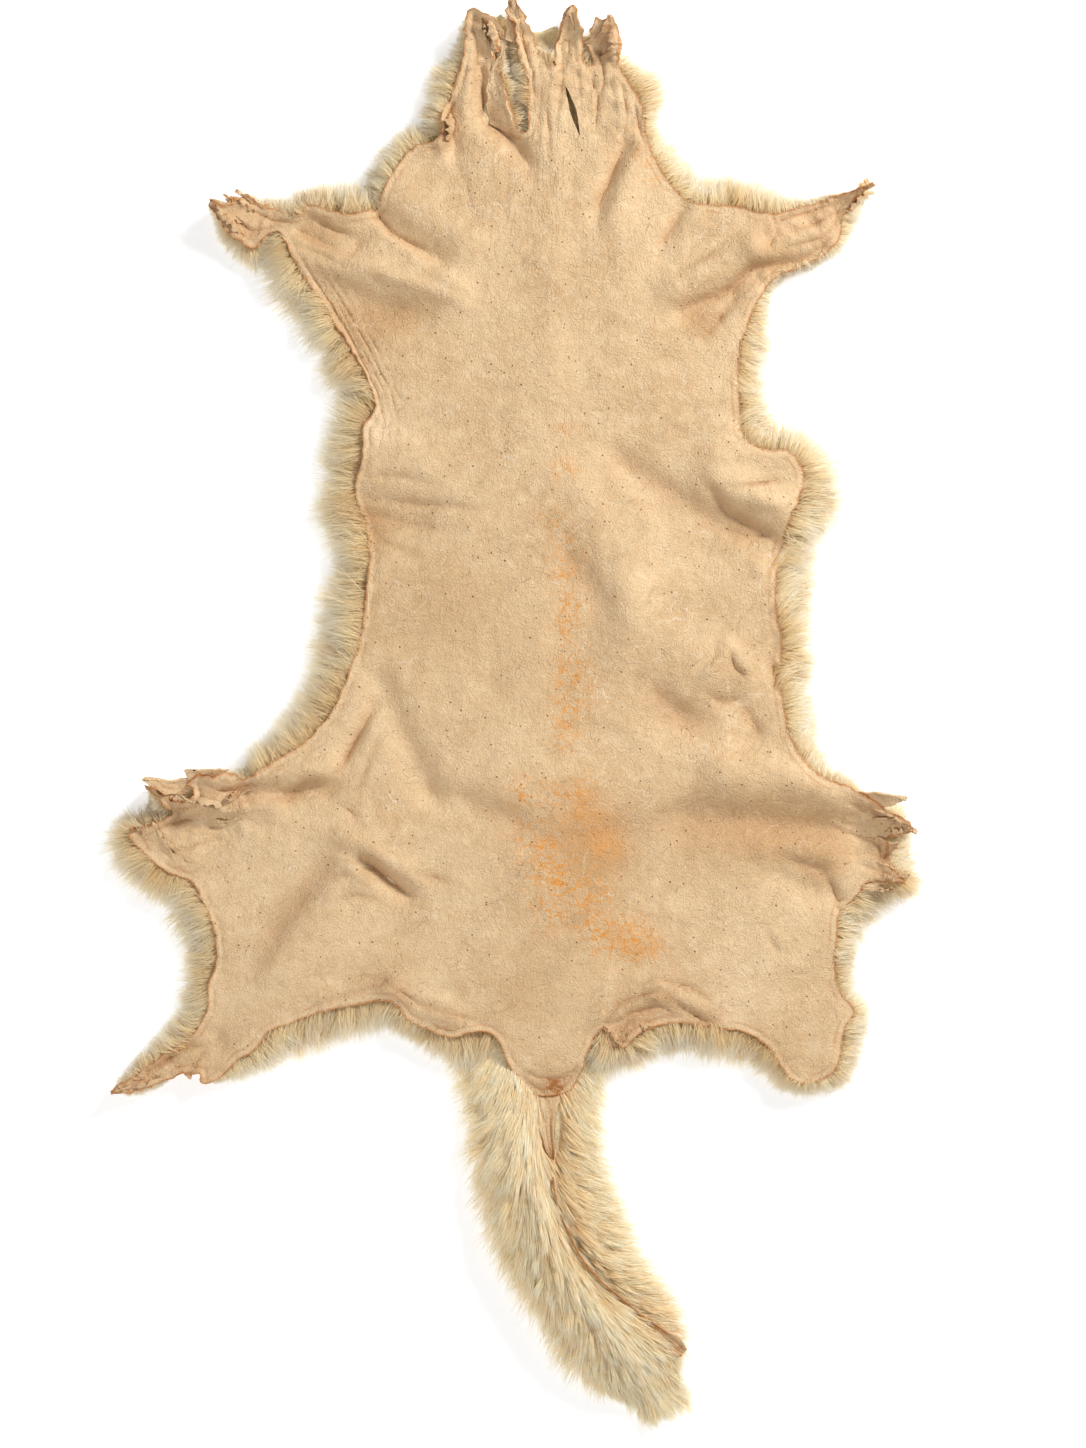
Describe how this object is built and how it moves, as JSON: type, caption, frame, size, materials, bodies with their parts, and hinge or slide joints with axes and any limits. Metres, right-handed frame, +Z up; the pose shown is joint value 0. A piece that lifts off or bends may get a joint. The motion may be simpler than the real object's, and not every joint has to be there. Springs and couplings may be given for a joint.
{
  "type": "tanned possum skin",
  "caption": "Tanned animal hide laid out flat with its bare leather side up: spread legs, torn head strips, curled dry edges, cream fur past the rim and a bushy tail slit along its back.",
  "frame": {"origin": "on the surface that the fur lies on, under the midline of the trunk, at its middle", "axes": "+Y towards the head, +X towards the right of the skin seen from above, +Z up out of the leather side"},
  "size_m": [0.459, 0.8058, 0.0355],
  "materials": {
    "leather": "dry pale tan suede with a fine grain, faint veins and orange-brown edges",
    "fur": "soft dense cream fur in fine tapering locks, yellower at the root",
    "tail_fur": "longer cream to pale tan fur that lies towards the tip of the tail"
  },
  "bodies": {
    "root": {"hide": "leather", "body_fur": "fur", "tail_fur": "tail_fur"}
  },
  "joints": []
}
